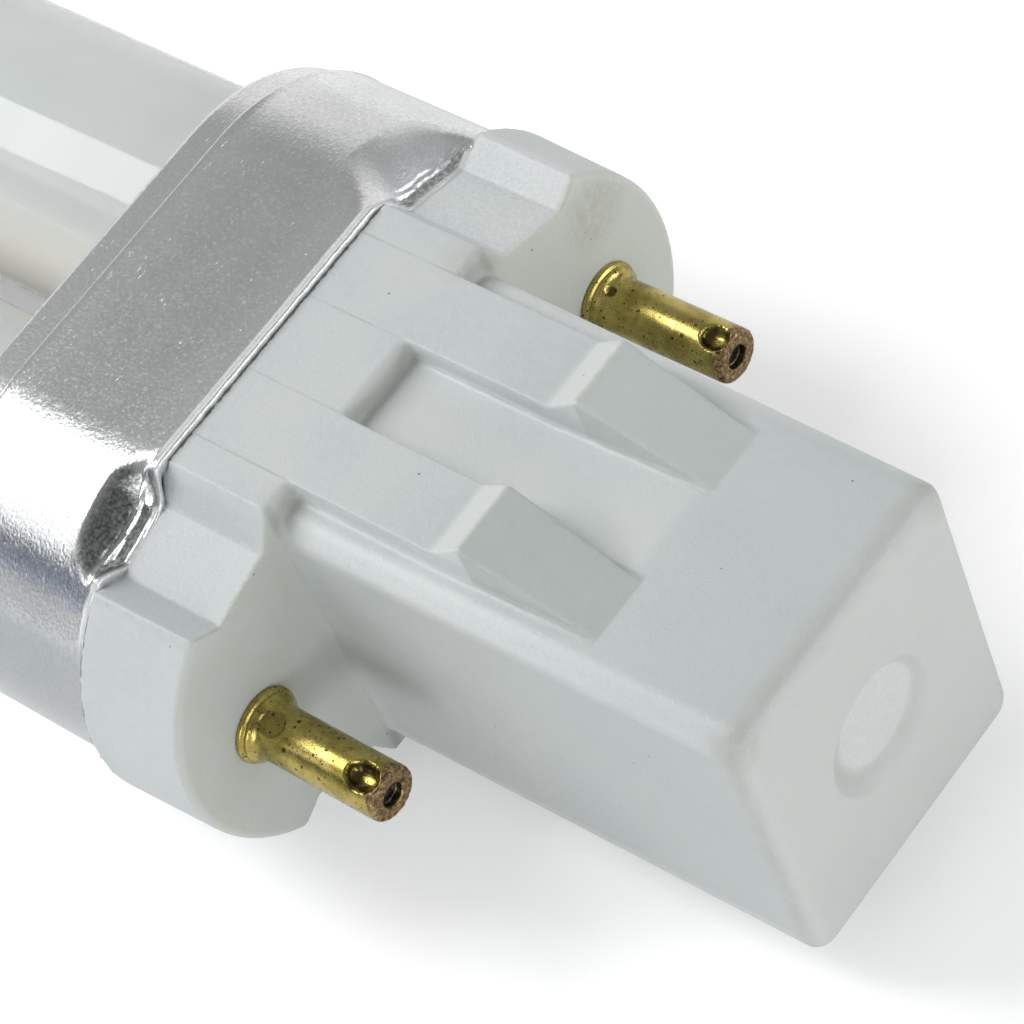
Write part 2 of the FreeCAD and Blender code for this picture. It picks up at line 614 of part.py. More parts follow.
def build_capacitor():
    """A flat capacitor under the starter."""
    body = new_body("capacitor")
    back, front = f"({STARTER_END} - sizes.capacitor_length)", STARTER_END
    half = "sizes.capacitor_width / 2"
    block = new_sketch(body, "capacitor_outline", "XY_Plane", out=CAPACITOR_FLOOR)
    draw_outline(block, [(back, f"-{half}"), (front, f"-{half}"), (front, half), (back, half)])
    feature(body, "Pad", "capacitor_block", block, Length="sizes.capacitor_thickness")
    round_edges(body, "capacitor_edges", "sizes.capacitor_edge", lambda edge: True)
    return body


def build_wire(name, stops):
    """A round wire through the stops: straight runs joined by tangent arcs that fit their runs."""
    points = [FreeCAD.Vector(*(size(place) for place in stop)) for stop in stops]
    edges = []
    start = points[0]
    for before, corner, after in zip(points, points[1:], points[2:]):
        back, ahead = before - corner, after - corner
        half_turn = (math.pi - back.getAngle(ahead)) / 2
        room = LONGEST_BEND * min(back.Length, ahead.Length)
        slack = min(size("sizes.wire_bend") * math.tan(half_turn), room)
        radius = slack / math.tan(half_turn)
        back.normalize()
        ahead.normalize()
        inward = back + ahead
        inward.normalize()
        nearest = corner + inward * (math.hypot(radius, slack) - radius)
        edges.append(Part.LineSegment(start, corner + back * slack).toShape())
        edges.append(Part.Arc(corner + back * slack, nearest, corner + ahead * slack).toShape())
        start = corner + ahead * slack
    edges.append(Part.LineSegment(start, points[-1]).toShape())
    section = Part.Circle(points[0], points[1] - points[0], size("sizes.wire_diameter") / 2).toShape()
    wire = doc.addObject("Part::Feature", name)
    wire.Shape = Part.Wire(edges).makePipeShell([Part.Wire([section])], True, False)
    return wire


def build_leads():
    """Each seal sends one wire into its pin and one to the starter; the capacitor's wires join the latter."""
    pin_back = "(sizes.pin_wall + sizes.clinch_height)"
    gap = f"({SEAL_END} - {pin_back})"
    wires = []
    for side in SIDES:
        hand = HANDS[side]
        leg = f"{side} * sizes.tube_pitch / 2"
        outer = f"{leg} + {side} * sizes.wire_spacing / 2"
        inner = f"{leg} - {side} * sizes.wire_spacing / 2"
        pin = f"{side} * sizes.pin_spacing / 2"
        stub = f"{side} * sizes.stub_spacing / 2"
        into_pin = [
            (f"-{SEAL_END}", outer, "0"),
            (f"-{SEAL_END} + {PIN_LEAD_TURN} * {gap}", outer, "0"),
            (f"-{pin_back} - {PIN_LEAD_TURN} * {gap}", pin, "0"),
            ("sizes.pin_length - sizes.cross_hole_setback", pin, "0"),
        ]
        to_starter = [
            (f"-{SEAL_END}", inner, "0"),
            (f"-{SEAL_END} + {STARTER_LEAD_TURN} * {gap}", inner, "0"),
            (f"{STUB_END} - sizes.stub_length", stub, "0"),
            (STUB_END, stub, "0"),
        ]
        joint = f"({STUB_END} - {JOINT_SETBACK} * sizes.stub_length)"
        level = f"({CAPACITOR_FLOOR} + sizes.capacitor_thickness / 2)"
        from_capacitor = [
            (f"{STARTER_END} - sizes.capacitor_length", stub, level),
            (joint, stub, level),
            (joint, stub, "-sizes.wire_diameter / 2 - sizes.slip_gap"),
        ]
        wires.append(build_wire(f"pin_lead_{hand}", into_pin))
        wires.append(build_wire(f"starter_lead_{hand}", to_starter))
        wires.append(build_wire(f"capacitor_lead_{hand}", from_capacitor))
    return wires


def check(pieces):
    """Stops if any object of the document failed, or if a piece isn't one whole valid solid."""
    for item in doc.Objects:
        failed = {"Invalid", "Error"} & set(item.State)
        if failed:
            raise RuntimeError(f"{item.Name}: {item.State}")
    for piece in pieces:
        shape = piece.Shape
        if shape.isNull() or not shape.isValid() or len(shape.Solids) != 1:
            raise RuntimeError(f"{piece.Name}: not one valid solid")


def write(pieces):
    """Writes each piece to a file of its own name."""
    os.makedirs("parts", exist_ok=True)
    for piece in pieces:
        piece.Shape.exportStep(f"parts/{piece.Label}.step")
        print(piece.Label, round(piece.Shape.Volume, 2), "mm3")


def build_lamp():
    """All pieces of the lamp, in their places."""
    tube = build_tube()
    pieces = [tube, build_shell(), build_cap()]
    pieces += [build_pin(side) for side in SIDES]
    pieces += [build_cement(tube), build_starter(), build_capacitor()]
    pieces += build_leads()
    doc.recompute()
    return pieces


lamp = build_lamp()
check(lamp)
write(lamp)
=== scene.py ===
import math

import bmesh
import bpy
import numpy as np
from mathutils import Matrix, Vector, noise
from mathutils.bvhtree import BVHTree


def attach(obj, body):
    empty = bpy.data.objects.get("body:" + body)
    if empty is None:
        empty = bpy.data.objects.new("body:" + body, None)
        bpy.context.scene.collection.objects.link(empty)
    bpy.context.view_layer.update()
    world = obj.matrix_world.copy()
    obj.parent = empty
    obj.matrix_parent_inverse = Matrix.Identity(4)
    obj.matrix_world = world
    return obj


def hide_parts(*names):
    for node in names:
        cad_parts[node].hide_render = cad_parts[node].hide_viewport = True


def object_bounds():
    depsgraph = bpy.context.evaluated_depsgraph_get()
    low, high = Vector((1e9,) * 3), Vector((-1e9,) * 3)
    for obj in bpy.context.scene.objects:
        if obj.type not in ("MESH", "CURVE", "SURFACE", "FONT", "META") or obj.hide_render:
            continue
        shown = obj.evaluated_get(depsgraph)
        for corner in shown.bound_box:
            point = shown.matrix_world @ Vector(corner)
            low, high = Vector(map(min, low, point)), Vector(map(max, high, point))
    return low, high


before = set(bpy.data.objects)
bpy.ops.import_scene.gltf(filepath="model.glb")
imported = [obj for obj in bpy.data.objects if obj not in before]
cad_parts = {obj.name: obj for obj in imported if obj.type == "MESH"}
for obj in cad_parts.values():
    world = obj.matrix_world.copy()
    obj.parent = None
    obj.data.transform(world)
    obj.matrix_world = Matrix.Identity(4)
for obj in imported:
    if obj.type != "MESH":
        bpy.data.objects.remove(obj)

CAD_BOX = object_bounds()
MM = 0.001
scene = bpy.context.scene
scene.view_settings.view_transform = "Standard"

# Sizes of the lamp in millimetres, as in the solids.
SHELL_HALF_FLAT = 6.55
SHELL_RADIUS = 8.8
TOP_X = -15.55
NECK_STEP = 0.35
NECK_RADIUS = 0.35
TUBE_RADIUS = 6.0
TUBE_HALF_PITCH = 6.9
TUBE_START_X = -13.0
BEND_X = -131.15
PIN_Y = 11.5
RAIL_INNER_Y = 1.95
RAIL_OUTER_Y = 5.4
RAIL_TOP_Z = 8.8
BOSS_TOP_Z = 7.75
BOSS_END_X = 21.85
LUG_START_X = 7.05
LUG_CREST_X = 8.7
LUG_FOOT_X = 14.55
# Points in a ring of each piece's mesh, and the longest step along a pin, in millimetres.
SHELL_RING = 720
TUBE_RING = 96
PIN_RING = 144
PIN_STEP = 0.045
# Olive dirt on the cap: places and radii.
STAINS = (
    ((-0.2, 6.2, 8.0), 1.8),
    ((-0.2, -6.2, 8.0), 1.2),
    ((21.4, -6.2, 6.9), 1.4),
    ((21.4, 6.2, 6.9), 1.4),
    ((0.0, 12.6, 4.5), 2.4),
)


# Meshes.


def finish_mesh(name, mesh, material, nodes):
    """Makes a piece of a mesh given in metres, smooth, riding on the lamp in place of its solids."""
    piece = bpy.data.objects.new(name, mesh)
    scene.collection.objects.link(piece)
    mesh.materials.clear()
    mesh.materials.append(material)
    mesh.polygons.foreach_set("use_smooth", np.ones(len(mesh.polygons), bool))
    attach(piece, "root")
    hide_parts(*nodes)
    return piece


def grid_mesh(name, rows):
    """A mesh of quads through rows of points in millimetres; each row is a closed ring."""
    rows = np.asarray(rows, float)
    count, ring = rows.shape[:2]
    mesh = bpy.data.meshes.new(name)
    index = np.arange(count * ring).reshape(count, ring)
    after = np.roll(index, -1, axis=1)
    quads = np.stack([index[:-1], after[:-1], after[1:], index[1:]], axis=-1).reshape(-1, 4)
    mesh.from_pydata((rows.reshape(-1, 3) * MM).tolist(), [], quads.tolist())
    mesh.update()
    return mesh


def add_solid(target, points, faces):
    """Adds a closed solid, given in millimetres, to a bmesh."""
    made = [target.verts.new([value * MM for value in point]) for point in points]
    for face in faces:
        target.faces.new([made[place] for place in face])


def add_prism(target, outline, start, end):
    """Adds a prism along the lamp over an outline of points (y, z), in millimetres."""
    count = len(outline)
    points = [(x, y, z) for x in (start, end) for y, z in outline]
    faces = [tuple(range(count)), tuple(range(2 * count - 1, count - 1, -1))]
    for place in range(count):
        after = (place + 1) % count
        faces.append((place, place + count, after + count, after))
    add_solid(target, points, faces)


def softened(mesh, voxel, rounds, keep):
    """The same shape as an even mesh whose edges are rounded off, thinned to a share of its faces."""
    holder = bpy.data.objects.new("holder", mesh)
    scene.collection.objects.link(holder)
    remesh = holder.modifiers.new("remesh", "REMESH")
    remesh.mode = "VOXEL"
    remesh.voxel_size = voxel * MM
    smooth = holder.modifiers.new("smooth", "SMOOTH")
    smooth.factor = 0.5
    smooth.iterations = rounds
    holder.modifiers.new("thin", "DECIMATE").ratio = keep
    done = bpy.data.meshes.new_from_object(holder.evaluated_get(bpy.context.evaluated_depsgraph_get()))
    bpy.data.objects.remove(holder)
    return done


def note_edges(mesh, node, reach):
    """Keeps on each point how far rounding moved it off the solid: below 0.5 in corners, above on edges."""
    tree = BVHTree.FromObject(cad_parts[node], bpy.context.evaluated_depsgraph_get())
    values = []
    for vertex in mesh.vertices:
        spot, normal, _, _ = tree.find_nearest(vertex.co)
        values.append(0.5 - (vertex.co - spot).dot(normal) / (2 * reach * MM))
    layer = mesh.attributes.new("edges", "FLOAT", "POINT")
    layer.data.foreach_set("value", np.clip(values, 0, 1))


# Materials.


def put(tree, kind, inputs=(), **settings):
    """Adds a node with its own settings; each input is a socket and a value or another node's output."""
    made = tree.nodes.new(kind)
    for name, value in settings.items():
        setattr(made, name, value)
    for socket, value in inputs:
        if isinstance(value, bpy.types.NodeSocket):
            tree.links.new(value, made.inputs[socket])
        else:
            made.inputs[socket].default_value = value
    return made


def new_material(name):
    """An empty material: its node tree and its shader."""
    material = bpy.data.materials.new(name)
    material.use_nodes = True
    return material, material.node_tree, material.node_tree.nodes["Principled BSDF"]


def place_mm(tree, stretch=(1, 1, 1)):
    """Where a point of the lamp is, in millimetres, stretched along each axis."""
    coords = put(tree, "ShaderNodeTexCoord").outputs["Object"]
    factor = tuple(value / MM for value in stretch)
    return put(tree, "ShaderNodeVectorMath", [(0, coords), (1, factor)], operation="MULTIPLY").outputs[0]


def noise_of(tree, coords, scale, detail=2.0, roughness=0.5):
    """Noise with so many waves a millimetre."""
    inputs = [("Vector", coords), ("Scale", scale), ("Detail", detail), ("Roughness", roughness)]
    return put(tree, "ShaderNodeTexNoise", inputs).outputs[0]


def math_of(tree, operation, first, second=0.0, clamp=False):
    """One operation on two numbers."""
    inputs = [(0, first), (1, second)]
    return put(tree, "ShaderNodeMath", inputs, operation=operation, use_clamp=clamp).outputs[0]


def between(tree, value, low, high, start=0.0, end=1.0):
    """A number spread smoothly from start to end as the value goes from low to high."""
    inputs = [("Value", value), ("From Min", low), ("From Max", high), ("To Min", start), ("To Max", end)]
    return put(tree, "ShaderNodeMapRange", inputs, interpolation_type="SMOOTHSTEP").outputs[0]


def blend(tree, share, first, second):
    """Two colours mixed by a share."""
    made = put(tree, "ShaderNodeMix", [(0, share)], data_type="RGBA")
    for socket, colour in ((6, first), (7, second)):
        if isinstance(colour, bpy.types.NodeSocket):
            tree.links.new(colour, made.inputs[socket])
        else:
            made.inputs[socket].default_value = (*colour, 1)
    return made.outputs[2]


def specks(tree, coords, scale, radius, share):
    """A mask of small round specks: cells a millimetre, radius in cells, share of cells with a speck."""
    cells = put(tree, "ShaderNodeTexVoronoi", [("Vector", coords), ("Scale", scale)])
    dots = between(tree, cells.outputs["Distance"], radius * 0.6, radius, 1.0, 0.0)
    chance = put(tree, "ShaderNodeSeparateColor", [(0, cells.outputs["Color"])]).outputs[0]
    return math_of(tree, "MULTIPLY", dots, math_of(tree, "LESS_THAN", chance, share))


def bump_of(tree, height, depth):
    """A bumped normal; depth is in millimetres."""
    inputs = [("Strength", 1.0), ("Distance", depth * MM), ("Height", height)]
    return put(tree, "ShaderNodeBump", inputs).outputs[0]


def near_spot(tree, coords, spot, radius, core=0.3):
    """A round mask about a spot of the lamp, in millimetres, full over a core of its radius."""
    away = put(tree, "ShaderNodeVectorMath", [(0, coords), (1, spot)], operation="DISTANCE").outputs["Value"]
    return between(tree, away, radius * core, radius, 1.0, 0.0)


def times(tree, *values):
    """The product of several numbers."""
    product = values[0]
    for value in values[1:]:
        product = math_of(tree, "MULTIPLY", product, value)
    return product


def within(tree, value, low, high, soft=0.05):
    """1 where a number lies between two others."""
    rising = between(tree, value, low - soft, low + soft)
    return times(tree, rising, between(tree, value, high + soft, high - soft))


class Coat:
    """A material's colour, built up in layers."""

    def __init__(self, tree, colour):
        self.tree = tree
        self.colour = colour

    def lay(self, tint, *shares):
        """Lays a tint over the colour, by the product of some shares."""
        self.colour = blend(self.tree, times(self.tree, *shares), self.colour, tint)


def plastic_material():
    """Satin white moulded plastic: grain, worn edges with painted highlights, painted light and shade on the
    lugs, faces, notches and corners, moulding lines, dirt and specks.
    """
    material, tree, shader = new_material("white_plastic")
    coords = place_mm(tree)
    edges = put(tree, "ShaderNodeAttribute", attribute_name="edges").outputs["Fac"]
    along, sideways, upwards = put(tree, "ShaderNodeSeparateXYZ", [(0, coords)]).outputs
    across = math_of(tree, "ABSOLUTE", sideways)
    height = math_of(tree, "ABSOLUTE", upwards)
    cloud = noise_of(tree, coords, 0.25, 0.0)
    patch = noise_of(tree, coords, 0.7, 4.0, 0.6)
    mottle = noise_of(tree, coords, 2.4, 4.0, 0.7)
    grain = noise_of(tree, coords, 7.0, 1.0)
    base = blend(tree, between(tree, cloud, 0.3, 0.7), (0.53, 0.567, 0.568), (0.565, 0.597, 0.593))
    coat = Coat(tree, base)
    coat.lay((0.60, 0.625, 0.62), between(tree, mottle, 0.35, 0.65, 0.0, 0.4))

    # Lugs: painted shade on the ramps, less of it on the far lug's ramp, and a painted highlight on the
    # fronts.
    beside = within(tree, across, RAIL_INNER_Y + 0.03, RAIL_OUTER_Y - 0.03)
    outside = between(tree, height, BOSS_TOP_Z - 0.05, BOSS_TOP_Z + 0.03)
    ramp = times(tree, within(tree, along, LUG_CREST_X + 0.05, LUG_FOOT_X - 0.05), beside, outside)
    # Painted shade on the ramps, mottled.
    coat.lay((0.45, 0.485, 0.465), ramp, between(tree, patch, 0.2, 0.7, 0.7, 1.0))
    # Painted light: the far lug's ramp is lighter.
    coat.lay((0.54, 0.575, 0.555), ramp, between(tree, sideways, 0.5, 1.5), 0.6)
    # Painted highlight on the upper part of the lug fronts.
    front = within(tree, along, LUG_START_X + 0.05, LUG_CREST_X - 0.05, 0.1)
    coat.lay((0.615, 0.638, 0.63), front, between(tree, height, RAIL_TOP_Z + 0.02, RAIL_TOP_Z + 0.15))

    # Boss: painted shade on the flanks, long edges with a painted highlight, painted light in the channel
    # between the rails, painted shade on the wall at its end and towards its outer end.
    # Painted shade: the flat flanks of the boss are darker than its top.
    flank = times(tree, between(tree, across, 6.3, 6.55), between(tree, height, 6.6, 6.2))
    coat.lay((0.475, 0.505, 0.50), within(tree, along, 0.8, 21.0, 0.5), flank, 0.5)
    # Long rounded edges lighter: a grainy rough finish and a painted highlight.
    long_edge = times(tree, between(tree, across, 5.7, 6.3), between(tree, height, 6.3, 7.1))
    long_edge = times(tree, long_edge, within(tree, along, 1.0, 20.5, 0.8))
    coat.lay((0.68, 0.705, 0.70), long_edge, between(tree, grain, 0.3, 0.7, 0.35, 0.65))
    # Painted light in the channel between the rails, where the rails shade it.
    channel = between(tree, across, RAIL_INNER_Y + 0.1, RAIL_INNER_Y - 0.05)
    channel = times(tree, channel, within(tree, height, 7.5, 8.7, 0.1))
    coat.lay((0.68, 0.705, 0.705), channel, within(tree, along, 0.4, 14.0, 0.3), 0.5)
    # Painted shade on the wall at the channel's end, olive grey.
    wall = between(tree, across, RAIL_INNER_Y + 0.03, RAIL_INNER_Y - 0.05)
    wall = times(tree, wall, within(tree, height, 7.6, 8.7, 0.1))
    coat.lay((0.565, 0.575, 0.53), wall, within(tree, along, -0.15, 0.2, 0.1), 0.8)
    # Painted shade: the tops darken towards the boss's outer end, as the light falls off.
    coat.lay((0.465, 0.50, 0.50), between(tree, along, 9.0, 19.0), between(tree, height, 6.5, 7.2), 0.4)

    # Staking notches: painted shade on the near ones and painted light on the far ones, both grainy.
    notch = times(tree, within(tree, across, 7.2, 12.7, 0.2), within(tree, height, 5.6, 8.4, 0.2))
    notch = times(tree, notch, within(tree, along, -5.0, -0.25, 0.1))
    shaded_near_notch = times(tree, notch, between(tree, sideways, 0.0, -1.0))
    coat.lay((0.51, 0.535, 0.54), shaded_near_notch, between(tree, grain, 0.35, 0.65, 0.95, 0.3))
    lit_far_notch = times(tree, notch, between(tree, sideways, 0.0, 1.0))
    coat.lay((0.68, 0.705, 0.71), lit_far_notch, between(tree, grain, 0.35, 0.65, 0.15, 0.7))

    # Worn edges, lighter also as a painted highlight, and dirty corners, darker also as painted shade.
    coat.lay((0.70, 0.72, 0.71), between(tree, edges, 0.6, 1.0), between(tree, patch, 0.4, 0.6, 0.1, 0.4))
    coat.lay((0.33, 0.335, 0.28), between(tree, edges, 0.4, 0.0), between(tree, patch, 0.35, 0.6, 0.05, 0.3))

    # Pin face with painted light on the far one, end of the boss with its round mark and painted shade along
    # its edge, painted shade at the foot of the boss, and crests of the lugs.
    pin_face = times(tree, within(tree, along, -0.2, 0.25), between(tree, across, 6.6, 7.4))
    coat.lay((0.545, 0.57, 0.515), pin_face, between(tree, patch, 0.3, 0.7, 0.3, 0.9))
    # Painted light on the far pin face.
    coat.lay((0.63, 0.655, 0.60), pin_face, between(tree, sideways, 6.0, 8.0), 0.9)
    end_face = between(tree, along, BOSS_END_X - 0.45, BOSS_END_X - 0.05)
    coat.lay((0.57, 0.595, 0.57), end_face, between(tree, patch, 0.3, 0.7, 0.4, 0.9))
    # Painted shade along the end face's edge, olive.
    end_edge = within(tree, along, BOSS_END_X - 0.95, BOSS_END_X - 0.3, 0.25)
    coat.lay((0.455, 0.465, 0.415), end_edge, between(tree, patch, 0.3, 0.7, 0.2, 0.55))
    mark = near_spot(tree, coords, (BOSS_END_X - 0.35, 0.2, 0.2), 2.5, 0.8)
    coat.lay((0.66, 0.68, 0.67), mark, between(tree, grain, 0.3, 0.7, 0.5, 0.9))
    # Painted shade in the corner at the foot of the boss.
    foot = times(tree, within(tree, along, -0.1, 0.12, 0.1), within(tree, across, 6.6, 7.0, 0.15))
    coat.lay((0.36, 0.375, 0.35), foot, 0.6)
    crest = times(tree, within(tree, along, 8.6, 9.0, 0.12), between(tree, height, 9.7, 9.8))
    coat.lay((0.47, 0.47, 0.40), crest, between(tree, mottle, 0.45, 0.62, 0.05, 0.45))

    # Moulding lines in line with the rails, and a painted shadow along the shell's rim.
    plateau = times(tree, within(tree, along, -5.2, 0.0, 0.1), between(tree, height, 8.5, 8.7))
    for place, strength in ((RAIL_OUTER_Y, 0.55), (RAIL_INNER_Y, 0.4)):
        off = math_of(tree, "ABSOLUTE", math_of(tree, "SUBTRACT", across, place))
        line = times(tree, between(tree, off, 0.07, 0.03), plateau, between(tree, patch, 0.3, 0.7, 0.3, 1.0))
        coat.lay((0.36, 0.375, 0.36), line, strength)
    jagged = math_of(tree, "ADD", along, times(tree, mottle, 0.35))
    in_notch = times(tree, within(tree, across, 6.6, 13.2, 0.2), between(tree, height, 8.75, 8.6))
    # Painted shadow of the shell's rim on the cap, fainter in the notches.
    rim_shadow = between(tree, jagged, -4.83, -4.88)
    coat.lay((0.14, 0.14, 0.13), rim_shadow, between(tree, in_notch, 0.0, 1.0, 1.0, 0.2))

    # Dirt and specks.
    coat.lay((0.36, 0.31, 0.22), between(tree, along, -2.5, -4.9), between(tree, mottle, 0.60, 0.72), 0.3)
    for spot, radius in STAINS:
        stain = near_spot(tree, coords, spot, radius)
        coat.lay((0.40, 0.385, 0.29), stain, between(tree, mottle, 0.3, 0.7, 0.1, 0.45))
    crumbs = times(tree, between(tree, edges, 0.62, 0.75), specks(tree, coords, 2.4, 0.3, 0.2))
    coat.lay((0.28, 0.23, 0.13), crumbs, between(tree, patch, 0.5, 0.6), 0.6)
    coat.lay((0.10, 0.10, 0.09), specks(tree, coords, 0.9, 0.06, 0.18), 0.75)

    tree.links.new(coat.colour, shader.inputs["Base Color"])
    tree.links.new(between(tree, grain, 0.3, 0.7, 0.40, 0.52), shader.inputs["Roughness"])
    tree.links.new(bump_of(tree, grain, 0.016), shader.inputs["Normal"])
    shader.inputs["IOR"].default_value = 1.5
    return material


def within_dents(tree, across):
    """1 over the width of the staked dents."""
    return times(tree, between(tree, across, 7.4, 8.0), between(tree, across, 12.2, 11.6))


def aluminium_material():
    """Satin drawn aluminium: fine hair lines, white scratches, specks, polish and a painted reflection
    lighter at the band's ends, painted shade on the round ends, in the near dent and in the dents' folds.
    """
    material, tree, shader = new_material("aluminium_sheet")
    coords = place_mm(tree)
    along, sideways, upwards = put(tree, "ShaderNodeSeparateXYZ", [(0, coords)]).outputs
    across = math_of(tree, "ABSOLUTE", sideways)
    hair = noise_of(tree, place_mm(tree, (10.0, 4.5, 4.5)), 1.0, 2.0, 0.6)
    grain = noise_of(tree, coords, 7.0, 1.0)
    cloud = noise_of(tree, coords, 0.6, 3.0)
    base = blend(tree, between(tree, cloud, 0.3, 0.7), (0.70, 0.725, 0.725), (0.75, 0.77, 0.765))
    coat = Coat(tree, base)
    # Band lighter towards both its ends: polish and a painted reflection.
    off_middle = math_of(tree, "ABSOLUTE", math_of(tree, "ADD", along, 9.6))
    coat.lay((0.90, 0.905, 0.91), between(tree, off_middle, 1.5, 3.9, 0.0, 0.55))
    coat.lay((0.56, 0.57, 0.58), between(tree, hair, 0.4, 0.7, 0.0, 0.5))
    coat.lay((0.93, 0.93, 0.93), between(tree, grain, 0.5, 0.75, 0.0, 0.6))
    scratch = noise_of(tree, place_mm(tree, (5.0, 1.2, 1.2)), 1.0, 6.0, 0.75)
    below_step = times(tree, between(tree, along, -10.8, -13.0), between(tree, along, -13.7, -13.3))
    rubbed = math_of(tree, "ADD", scratch, times(tree, below_step, 0.035))
    streaks = specks(tree, place_mm(tree, (0.6, 1.9, 1.9)), 1.0, 0.05, 0.2)
    flecks = specks(tree, coords, 1.3, 0.07, 0.2)
    marks = math_of(tree, "MAXIMUM", streaks, flecks)
    marks = math_of(tree, "MAXIMUM", between(tree, rubbed, 0.64, 0.71), marks)
    coat.lay((0.96, 0.96, 0.95), marks)
    coat.lay((0.25, 0.24, 0.22), specks(tree, coords, 0.8, 0.07, 0.12), 0.6)
    height = math_of(tree, "ABSOLUTE", upwards)
    # Painted shade: the shell's round ends darker near the middle plane.
    coat.lay((0.34, 0.365, 0.375), between(tree, height, 5.7, 4.0), 0.75)
    staked = within_dents(tree, across)
    # Painted shade on the near dent's slope, grainy.
    shaded_dent = times(tree, between(tree, along, -7.3, -6.6), between(tree, along, -5.8, -6.05))
    shaded_dent = times(tree, shaded_dent, staked, between(tree, sideways, 0.0, -1.0))
    coat.lay((0.08, 0.088, 0.084), shaded_dent, between(tree, grain, 0.3, 0.7, 0.9, 0.65))
    # Painted shade in the folds at the foot of the dents.
    fold = times(tree, between(tree, along, -6.0, -5.7), between(tree, along, -5.3, -5.45), staked)
    coat.lay((0.22, 0.225, 0.22), fold, between(tree, hair, 0.4, 0.6, 0.2, 0.7))
    tree.links.new(coat.colour, shader.inputs["Base Color"])
    satin = times(tree, between(tree, along, -8.8, -7.4), staked, between(tree, sideways, 0.0, 1.0))
    rough = between(tree, hair, 0.3, 0.7, 0.17, 0.26)
    lip = between(tree, along, -5.6, -5.3, 0.0, 0.2)
    for more in (times(tree, marks, 0.3), lip, times(tree, shaded_dent, 0.08), times(tree, satin, 0.17)):
        rough = math_of(tree, "ADD", rough, more)
    tree.links.new(rough, shader.inputs["Roughness"])
    tree.links.new(bump_of(tree, math_of(tree, "ADD", hair, grain), 0.0085), shader.inputs["Normal"])
    shader.inputs["Metallic"].default_value = 1.0
    return material


def brass_material():
    """Drawn brass, tarnished, with dark specks, painted shade in its holes, pit and bore, and brown at the
    torn tips.
    """
    material, tree, shader = new_material("brass")
    coords = place_mm(tree)
    along, sideways, upwards = put(tree, "ShaderNodeSeparateXYZ", [(0, coords)]).outputs
    off_axis = math_of(tree, "SUBTRACT", math_of(tree, "ABSOLUTE", sideways), PIN_Y)
    square = math_of(tree, "ADD", times(tree, off_axis, off_axis), times(tree, upwards, upwards))
    radius = math_of(tree, "SQRT", square)
    cloud = noise_of(tree, coords, 0.9, 4.0, 0.6)
    tarnish = noise_of(tree, coords, 1.6, 5.0, 0.65)
    grain = noise_of(tree, coords, 12.0, 3.0)
    base = blend(tree, between(tree, cloud, 0.35, 0.7), (0.50, 0.405, 0.125), (0.29, 0.228, 0.055))
    coat = Coat(tree, base)
    coat.lay((0.19, 0.125, 0.05), between(tree, tarnish, 0.57, 0.72, 0.0, 0.6))
    coat.lay((0.24, 0.19, 0.06), near_spot(tree, coords, (1.15, -PIN_Y - 0.22, 1.15), 0.62, 0.85), 0.7)
    # Painted shade in the cross holes, darkest on the side towards the flange.
    for spot, size in (((5.85, -PIN_Y - 0.31, 1.0), 0.78), ((6.05, PIN_Y - 0.17, 1.0), 0.66)):
        hole = near_spot(tree, coords, spot, size, 0.8)
        coat.lay((0.16, 0.12, 0.035), hole, 0.4)
        coat.lay((0.045, 0.032, 0.012), hole, between(tree, along, spot[0] + 0.05, spot[0] - 0.3), 0.85)
    # Painted shade in the small pit on one pin.
    coat.lay((0.07, 0.04, 0.018), near_spot(tree, coords, (0.8, PIN_Y - 0.22, 1.14), 0.3, 0.6), 0.85)
    upper = between(tree, upwards, 0.1, 0.9, 0.0, 0.28)
    worn = math_of(tree, "ADD", math_of(tree, "ADD", along, upper), times(tree, tarnish, 0.5))
    tip = between(tree, worn, 6.8, 6.95)
    flakes = noise_of(tree, coords, 5.0, 3.0, 0.7)
    torn = Coat(tree, blend(tree, between(tree, grain, 0.35, 0.65), (0.15, 0.10, 0.05), (0.32, 0.22, 0.105)))
    torn.lay((0.56, 0.38, 0.17), between(tree, flakes, 0.52, 0.62, 0.0, 0.8))
    torn.lay((0.06, 0.04, 0.02), between(tree, flakes, 0.44, 0.36, 0.0, 0.8))
    coat.lay(torn.colour, tip)
    # Painted shade inside the bore at the tip.
    coat.lay((0.10, 0.09, 0.08), between(tree, radius, 0.58, 0.5), between(tree, along, 5.0, 5.2))
    dots = specks(tree, coords, 2.6, 0.22, 0.45)
    for more in (specks(tree, coords, 1.1, 0.16, 0.5), specks(tree, coords, 4.5, 0.24, 0.4)):
        dots = math_of(tree, "MAXIMUM", dots, more)
    coat.lay((0.05, 0.035, 0.015), dots, 0.9)
    tree.links.new(coat.colour, shader.inputs["Base Color"])
    rough = math_of(tree, "ADD", between(tree, grain, 0.3, 0.7, 0.2, 0.3), times(tree, tip, 0.15))
    tree.links.new(rough, shader.inputs["Roughness"])
    tree.links.new(bump_of(tree, grain, 0.006), shader.inputs["Normal"])
    shader.inputs["Metallic"].default_value = 1.0
    return material


